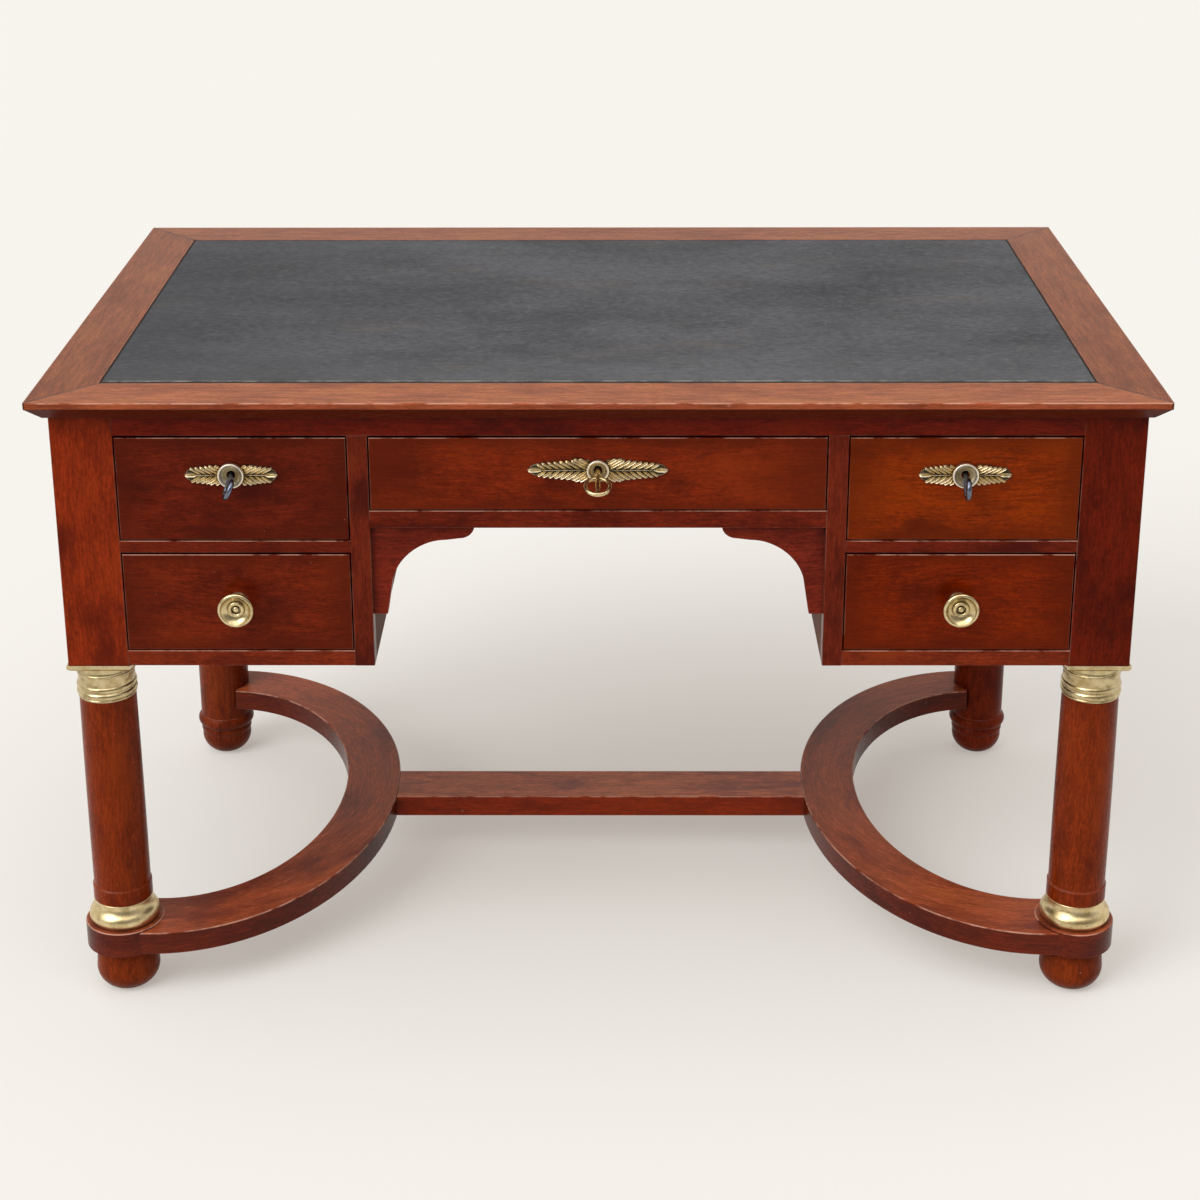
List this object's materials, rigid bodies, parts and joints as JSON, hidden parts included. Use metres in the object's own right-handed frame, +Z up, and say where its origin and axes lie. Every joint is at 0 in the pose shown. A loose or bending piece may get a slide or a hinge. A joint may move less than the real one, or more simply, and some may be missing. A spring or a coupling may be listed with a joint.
{
  "type": "kneehole writing desk",
  "caption": "Mahogany kneehole writing desk with a leather-lined top, sliding drawers, brass-mounted front columns and curved floor stretchers.",
  "frame": {"origin": "on the floor under the middle of the top", "axes": "+X to the right of a person who faces the drawers, +Y from the drawer fronts to the back, +Z up"},
  "size_m": [1.28, 0.7934, 0.78],
  "materials": {
    "mahogany_rim": "worn french polish, faded by light",
    "mahogany_case": "french polished mahogany, satin gloss",
    "mahogany_inner": "plain unpolished mahogany, greyed",
    "mahogany_drawer": "french polished mahogany veneer, satin gloss",
    "drawer_oak": "plain unpolished oak, dry and aged",
    "mahogany_turned": "turned and french polished mahogany, glossy",
    "mahogany_stretcher": "french polished mahogany, worn on its edges",
    "black_leather": "black hide with brownish wear, dull",
    "aged_brass": "cast and turned brass with dark patina in its hollows",
    "blued_steel": "dark blued steel, worn",
    "lock_steel": "plain lock steel, dull"
  },
  "bodies": {
    "desk": {"rim_front": "mahogany_rim", "rim_back": "mahogany_rim", "rim_left": "mahogany_rim", "rim_right": "mahogany_rim", "front_post_left": "mahogany_case", "front_post_right": "mahogany_case", "rear_post_left": "mahogany_case", "rear_post_right": "mahogany_case", "side_panel_left": "mahogany_case", "side_panel_right": "mahogany_case", "divider_stiles": "mahogany_case", "top_rail": "mahogany_case", "centre_rail": "mahogany_case", "mid_rails": "mahogany_case", "bottom_rails": "mahogany_case", "brackets": "mahogany_case", "back_frieze": "mahogany_case", "pedestal_backs": "mahogany_case", "inner_sides": "mahogany_inner", "pedestal_bottoms": "mahogany_inner", "drawer_runners": "mahogany_inner", "top_board": "mahogany_inner", "column_left": "mahogany_turned", "column_right": "mahogany_turned", "front_feet": "mahogany_turned", "rear_leg_left": "mahogany_turned", "rear_leg_right": "mahogany_turned", "stretcher_left": "mahogany_stretcher", "stretcher_right": "mahogany_stretcher", "cross_bar": "mahogany_stretcher", "leather_inlay": "black_leather", "capital_left": "aged_brass", "capital_right": "aged_brass", "base_ring_left": "aged_brass", "base_ring_right": "aged_brass"},
    "drawer_upper_left": {"drawer_front_upper_left": "mahogany_drawer", "drawer_box_upper_left": "drawer_oak", "escutcheon_left": "aged_brass", "lock_case_left": "lock_steel"},
    "drawer_upper_right": {"drawer_front_upper_right": "mahogany_drawer", "drawer_box_upper_right": "drawer_oak", "escutcheon_right": "aged_brass", "lock_case_right": "lock_steel"},
    "drawer_lower_left": {"drawer_front_lower_left": "mahogany_drawer", "drawer_box_lower_left": "drawer_oak", "knob_left": "aged_brass"},
    "drawer_lower_right": {"drawer_front_lower_right": "mahogany_drawer", "drawer_box_lower_right": "drawer_oak", "knob_right": "aged_brass"},
    "drawer_centre": {"drawer_front_centre": "mahogany_drawer", "drawer_box_centre": "drawer_oak", "escutcheon_centre": "aged_brass", "lock_case_centre": "lock_steel"},
    "key_left": {"key_left": "blued_steel"},
    "bolt_left": {"lock_bolt_left": "lock_steel"},
    "key_centre": {"key_centre": "aged_brass"},
    "bolt_centre": {"lock_bolt_centre": "lock_steel"},
    "key_right": {"key_right": "blued_steel"},
    "bolt_right": {"lock_bolt_right": "lock_steel"}
  },
  "joints": [
    {"name": "drawer_upper_left_slide", "type": "slide", "parent": "desk", "child": "drawer_upper_left", "axis": [0, -1, 0], "range_m": [0, 0.42]},
    {"name": "drawer_upper_right_slide", "type": "slide", "parent": "desk", "child": "drawer_upper_right", "axis": [0, -1, 0], "range_m": [0, 0.42]},
    {"name": "drawer_lower_left_slide", "type": "slide", "parent": "desk", "child": "drawer_lower_left", "axis": [0, -1, 0], "range_m": [0, 0.42]},
    {"name": "drawer_lower_right_slide", "type": "slide", "parent": "desk", "child": "drawer_lower_right", "axis": [0, -1, 0], "range_m": [0, 0.42]},
    {"name": "drawer_centre_slide", "type": "slide", "parent": "desk", "child": "drawer_centre", "axis": [0, -1, 0], "range_m": [0, 0.42]},
    {"name": "bolt_left_slide", "type": "slide", "parent": "drawer_upper_left", "child": "bolt_left", "axis": [0, 0, 1], "range_m": [0, 0.008]},
    {"name": "key_left_turn", "type": "hinge", "parent": "drawer_upper_left", "child": "key_left", "pos_m": [-0.4165, -0.36, 0.6845], "axis": [0, -0.9397, -0.342], "range_deg": [0, 207.1]},
    {"name": "bolt_centre_slide", "type": "slide", "parent": "drawer_centre", "child": "bolt_centre", "axis": [0, 0, 1], "range_m": [0, 0.008]},
    {"name": "key_centre_turn", "type": "hinge", "parent": "drawer_centre", "child": "key_centre", "pos_m": [0, -0.36, 0.6905], "axis": [0, -0.9397, -0.342], "range_deg": [0, 90.1]},
    {"name": "bolt_right_slide", "type": "slide", "parent": "drawer_upper_right", "child": "bolt_right", "axis": [0, 0, 1], "range_m": [0, 0.008]},
    {"name": "key_right_turn", "type": "hinge", "parent": "drawer_upper_right", "child": "key_right", "pos_m": [0.4165, -0.36, 0.6845], "axis": [0, -0.9397, -0.342], "range_deg": [0, 180.1]}
  ],
  "couplings": [
    {"joint": "key_left_turn", "follows": "bolt_left_slide", "rad_per_m": 451.6},
    {"joint": "key_centre_turn", "follows": "bolt_centre_slide", "rad_per_m": 196.35},
    {"joint": "key_right_turn", "follows": "bolt_right_slide", "rad_per_m": 392.7}
  ]
}
